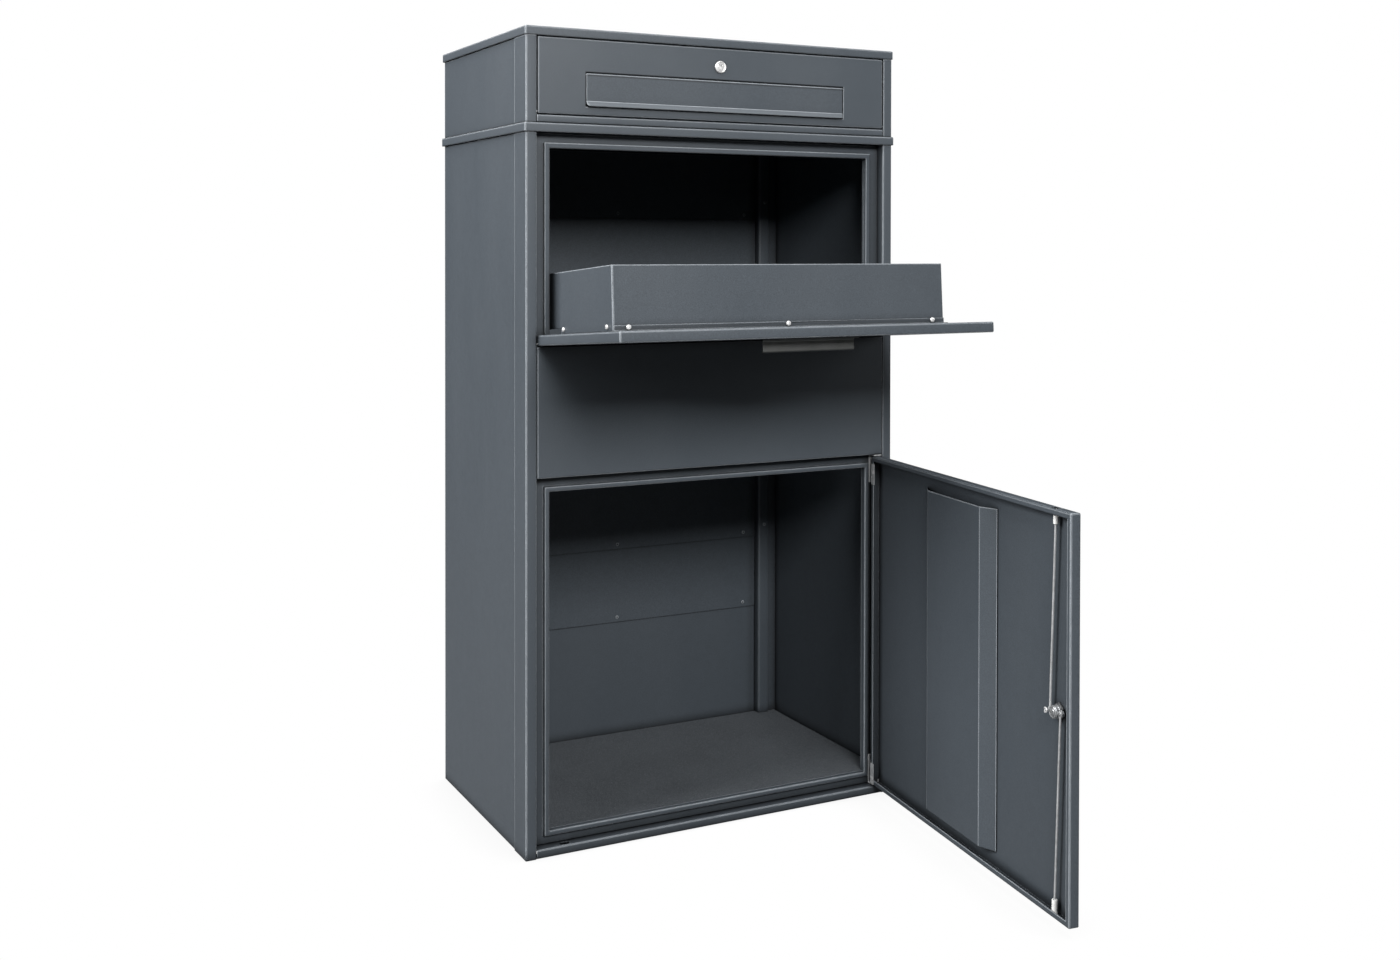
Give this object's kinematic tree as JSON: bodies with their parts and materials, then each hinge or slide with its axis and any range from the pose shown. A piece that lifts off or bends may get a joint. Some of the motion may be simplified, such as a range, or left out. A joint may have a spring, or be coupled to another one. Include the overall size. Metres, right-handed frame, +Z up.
{
  "type": "parcel drop box",
  "caption": "free-standing sheet-steel parcel box with a letter compartment, letter flap, pull-down parcel hatch with a tray, and a lower collection door with a rod lock",
  "frame": {"origin": "centre of the footprint on the ground, under the base pan", "axes": "+Z up, front with the hatch and the doors towards -Y, width along X"},
  "size_m": [0.625, 0.9778, 1.2],
  "materials": {
    "body_paint": "fine satin powder coat, anthracite grey",
    "inner_paint": "satin powder coat, anthracite grey, thinner inside",
    "floor_rubber": "grained matt floor covering",
    "zinc_steel": "bright zinc-plated steel",
    "lock_chrome": "polished chrome plating",
    "handle_metal": "satin anodised aluminium",
    "white_plastic": "smooth white plastic"
  },
  "bodies": {
    "cabinet": {"base_pan": "body_paint", "bottom_rail": "body_paint", "cap_lid": "body_paint", "collar_deck": "body_paint", "door_frame": "body_paint", "fascia_panel": "body_paint", "front_left_post": "body_paint", "front_right_post": "body_paint", "hatch_frame": "body_paint", "left_panel": "body_paint", "mail_bottom_rail": "body_paint", "mail_left_panel": "body_paint", "mail_left_post": "body_paint", "mail_right_panel": "body_paint", "mail_right_post": "body_paint", "right_panel": "body_paint", "mail_rear_panel": "inner_paint", "mail_top_rail": "inner_paint", "rear_left_post": "inner_paint", "rear_right_post": "inner_paint", "rear_panel_bottom": "inner_paint", "rear_panel_low": "inner_paint", "rear_panel_middle": "inner_paint", "rear_panel_top": "inner_paint", "floor_board": "floor_rubber", "upper_hinge_bracket": "zinc_steel", "lower_hinge_bracket": "zinc_steel", "upper_hinge_pin": "zinc_steel", "lower_hinge_pin": "zinc_steel", "hatch_hinge_pin_left": "zinc_steel", "hatch_hinge_pin_right": "zinc_steel", "mail_hinge_pin_left": "zinc_steel", "mail_hinge_pin_right": "zinc_steel"},
    "hatch": {"hatch_leaf": "body_paint", "hatch_inner_pan": "body_paint", "hatch_tray": "body_paint", "hatch_angle_strip": "body_paint", "hatch_handle": "handle_metal", "tray_front_screw_1": "zinc_steel", "tray_front_screw_2": "zinc_steel", "tray_front_screw_3": "zinc_steel", "tray_left_screw_1": "zinc_steel", "tray_left_screw_2": "zinc_steel", "tray_right_screw_1": "zinc_steel", "tray_right_screw_2": "zinc_steel"},
    "door": {"door_leaf": "body_paint", "door_stiffener": "body_paint", "door_lock_barrel": "lock_chrome", "door_lock_nut": "zinc_steel"},
    "door_lock": {"lock_crank": "zinc_steel"},
    "upper_rod": {"upper_lock_rod": "zinc_steel", "upper_rod_tip": "white_plastic"},
    "lower_rod": {"lower_lock_rod": "zinc_steel", "lower_rod_tip": "white_plastic"},
    "mail_door": {"mail_door": "body_paint", "mail_lock_barrel": "lock_chrome", "mail_lock_nut": "zinc_steel", "letter_flap_pin": "zinc_steel"},
    "mail_lock": {"mail_lock_cam": "zinc_steel"},
    "letter_flap": {"letter_flap": "body_paint"}
  },
  "joints": [
    {"name": "hatch_hinge", "type": "hinge", "parent": "cabinet", "child": "hatch", "pos_m": [0, -0.1972, 0.7435], "axis": [1, 0, 0], "range_deg": [-86.1, 0]},
    {"name": "door_hinge", "type": "hinge", "parent": "cabinet", "child": "door", "pos_m": [0.2895, -0.1972, 0.281], "axis": [0, 0, 1], "range_deg": [-83.4, 16.6]},
    {"name": "door_lock_turn", "type": "hinge", "parent": "door", "child": "door_lock", "pos_m": [0.22569, -0.7304, 0.281], "axis": [0.9934, -0.1149, 0], "range_deg": [0, 90]},
    {"name": "upper_rod_swivel", "type": "hinge", "parent": "door_lock", "child": "upper_rod", "pos_m": [0.22345, -0.71756, 0.281], "axis": [0.9934, -0.1149, 0], "range_deg": [-93, 0]},
    {"name": "lower_rod_swivel", "type": "hinge", "parent": "door_lock", "child": "lower_rod", "pos_m": [0.22058, -0.74239, 0.281], "axis": [0.9934, -0.1149, 0], "range_deg": [-93, 0]},
    {"name": "mail_door_hinge", "type": "hinge", "parent": "cabinet", "child": "mail_door", "pos_m": [0, -0.1965, 1.0782], "axis": [1, 0, 0], "range_deg": [0, 90]},
    {"name": "mail_lock_turn", "type": "hinge", "parent": "mail_door", "child": "mail_lock", "pos_m": [0, -0.1797, 1.157], "axis": [0, -1, 0], "range_deg": [0, 90]},
    {"name": "letter_flap_hinge", "type": "hinge", "parent": "mail_door", "child": "letter_flap", "pos_m": [0, -0.1969, 1.1345], "axis": [-1, 0, 0], "range_deg": [0, 75]}
  ],
  "couplings": [
    {"joint": "upper_rod_swivel", "follows": "door_lock_turn", "ratio": -1.0302},
    {"joint": "lower_rod_swivel", "follows": "door_lock_turn", "ratio": -1.0302}
  ]
}
